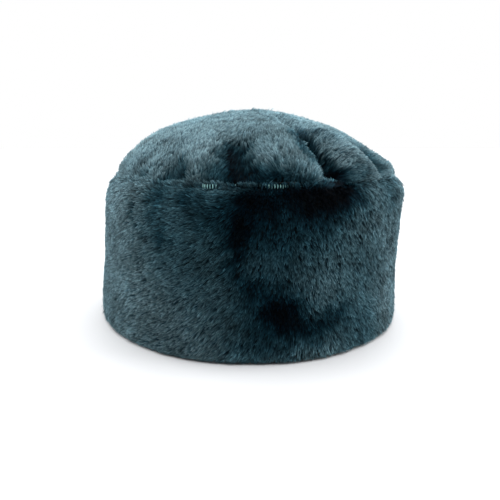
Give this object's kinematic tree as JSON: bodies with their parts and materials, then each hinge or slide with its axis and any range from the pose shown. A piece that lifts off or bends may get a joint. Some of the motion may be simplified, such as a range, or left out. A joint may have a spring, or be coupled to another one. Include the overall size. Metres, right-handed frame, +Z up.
{
  "type": "round sheepskin hat",
  "caption": "Round brimless hat of dyed sheepskin with the wool outside: a tall straight side band and a soft domed crown that folds in towards its seam.",
  "frame": {"origin": "centre of the hem, on the surface that the hat stands on", "axes": "+Z up through the crown, -Y towards the front, +Y towards the back along the longer side of the oval, +X to the left of a wearer"},
  "size_m": [0.1995, 0.221, 0.1323],
  "materials": {
    "dyed_wool": "matt clipped pile with a soft sheen",
    "suede": "matt suede",
    "seam_thread": "matt thread"
  },
  "bodies": {
    "root": {"side_band": "dyed_wool", "crown": "dyed_wool"}
  },
  "joints": []
}
